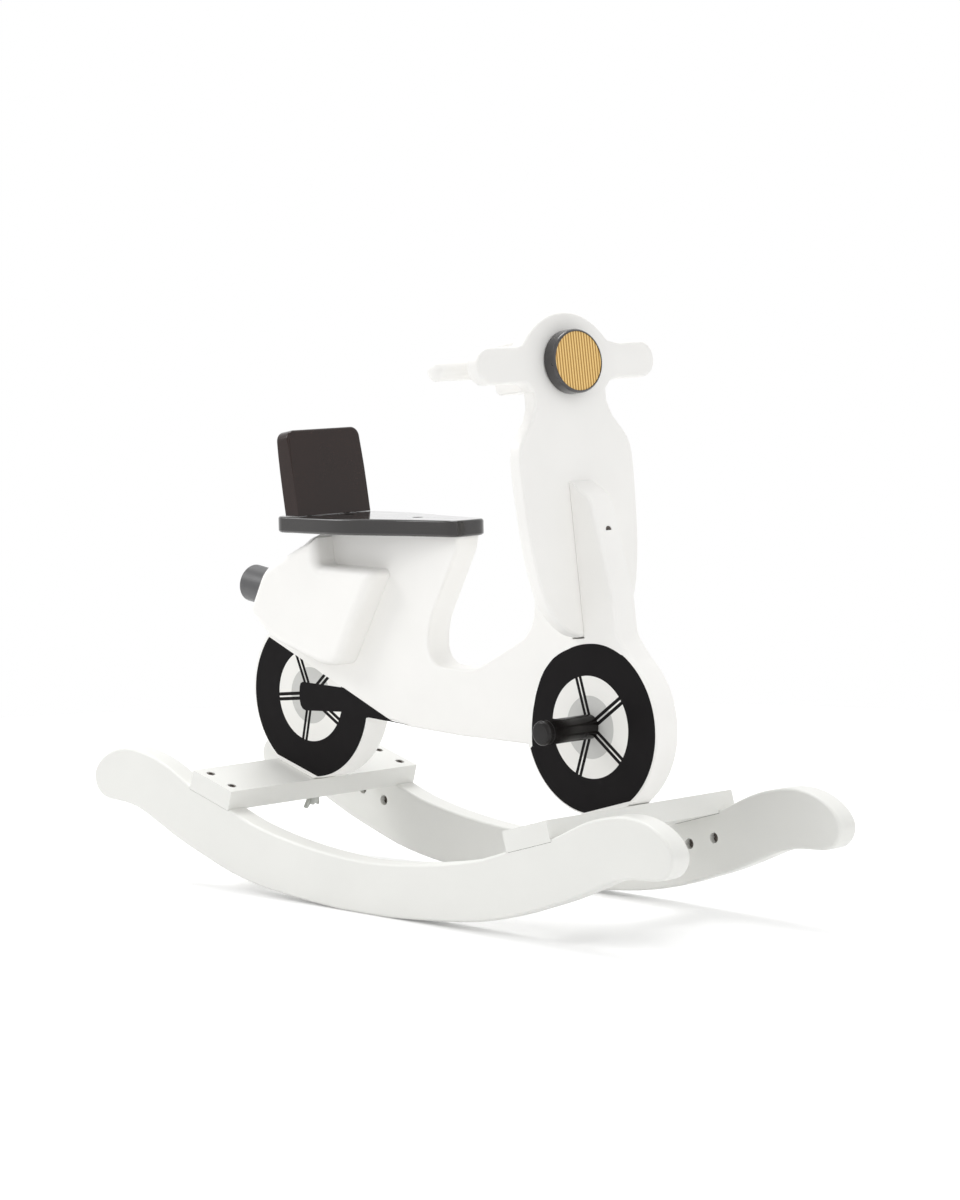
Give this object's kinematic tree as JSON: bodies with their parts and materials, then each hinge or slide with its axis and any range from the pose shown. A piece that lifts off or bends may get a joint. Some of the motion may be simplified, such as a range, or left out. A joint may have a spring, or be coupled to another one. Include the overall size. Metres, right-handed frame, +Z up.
{
  "type": "rocking scooter toy",
  "caption": "Wooden rocking scooter for a small child: a board sawn to a motor scooter's outline on curved rockers, with seat, backrest, leg shield, handle bar, lamp and foot pegs.",
  "frame": {"origin": "on the floor, midway between the rockers and midway along them: the centre of the bounding box's base", "axes": "+X forwards to the headlight, +Y to the rider's left, +Z up"},
  "size_m": [0.7836, 0.252, 0.5648],
  "materials": {
    "white_paint": "satin white paint on wood",
    "black_gloss": "gloss black-brown paint on wood",
    "black_satin": "satin black paint on wood",
    "grey_paint": "satin grey paint on wood",
    "lamp_paint": "satin anthracite paint on wood",
    "lamp_print": "printed film, golden yellow with dark stripes",
    "zinc_steel": "zinc plated",
    "dark_steel": "dark plated",
    "beech": "bare wood"
  },
  "bodies": {
    "frame": {"scooter_board": "white_paint", "right_rocker": "white_paint", "left_rocker": "white_paint", "front_plank": "white_paint", "front_inner_right_bolt": "dark_steel", "front_inner_right_barrel_nut": "zinc_steel", "front_inner_left_bolt": "dark_steel", "front_inner_left_barrel_nut": "zinc_steel", "front_inner_hanger_bolt": "zinc_steel", "front_inner_washer": "zinc_steel", "front_outer_right_bolt": "dark_steel", "front_outer_right_barrel_nut": "zinc_steel", "front_outer_left_bolt": "dark_steel", "front_outer_left_barrel_nut": "zinc_steel", "front_outer_hanger_bolt": "zinc_steel", "front_outer_washer": "zinc_steel", "rear_plank": "white_paint", "rear_inner_right_bolt": "dark_steel", "rear_inner_right_barrel_nut": "zinc_steel", "rear_inner_left_bolt": "dark_steel", "rear_inner_left_barrel_nut": "zinc_steel", "rear_inner_hanger_bolt": "zinc_steel", "rear_inner_washer": "zinc_steel", "rear_outer_right_bolt": "dark_steel", "rear_outer_right_barrel_nut": "zinc_steel", "rear_outer_left_bolt": "dark_steel", "rear_outer_left_barrel_nut": "zinc_steel", "rear_outer_hanger_bolt": "zinc_steel", "rear_outer_washer": "zinc_steel", "right_cowl": "white_paint", "left_cowl": "white_paint", "front_cowl_dowel": "beech", "rear_cowl_dowel": "beech", "leg_shield": "white_paint", "headlight_body": "lamp_paint", "headlight_face": "lamp_print", "headlight_dowel": "beech", "nose_screw": "dark_steel", "lower_shield_screw": "zinc_steel", "upper_shield_screw": "zinc_steel", "handlebar": "white_paint", "handlebar_screw": "zinc_steel", "seat": "black_gloss", "backrest": "black_gloss", "front_seat_screw": "dark_steel", "rear_seat_screw": "dark_steel", "right_backrest_screw": "zinc_steel", "left_backrest_screw": "zinc_steel", "exhaust_pipe": "grey_paint", "right_footpeg": "black_satin", "left_footpeg": "black_satin", "footpeg_stud": "zinc_steel"},
    "front_inner_wing_nut": {"front_inner_wing_nut": "zinc_steel"},
    "front_outer_wing_nut": {"front_outer_wing_nut": "zinc_steel"},
    "rear_inner_wing_nut": {"rear_inner_wing_nut": "zinc_steel"},
    "rear_outer_wing_nut": {"rear_outer_wing_nut": "zinc_steel"}
  },
  "joints": [
    {"name": "front_inner_wing_nut_turn", "type": "hinge", "parent": "frame", "child": "front_inner_wing_nut", "pos_m": [0.20258, 0, 0.08029], "axis": [-0.2773, 0, 0.9608], "continuous": true},
    {"name": "front_outer_wing_nut_turn", "type": "hinge", "parent": "frame", "child": "front_outer_wing_nut", "pos_m": [0.23333, 0, 0.08916], "axis": [-0.2773, 0, 0.9608], "continuous": true},
    {"name": "rear_inner_wing_nut_turn", "type": "hinge", "parent": "frame", "child": "rear_inner_wing_nut", "pos_m": [-0.20258, 0, 0.08029], "axis": [0.2773, 0, 0.9608], "continuous": true},
    {"name": "rear_outer_wing_nut_turn", "type": "hinge", "parent": "frame", "child": "rear_outer_wing_nut", "pos_m": [-0.23333, 0, 0.08916], "axis": [0.2773, 0, 0.9608], "continuous": true}
  ]
}
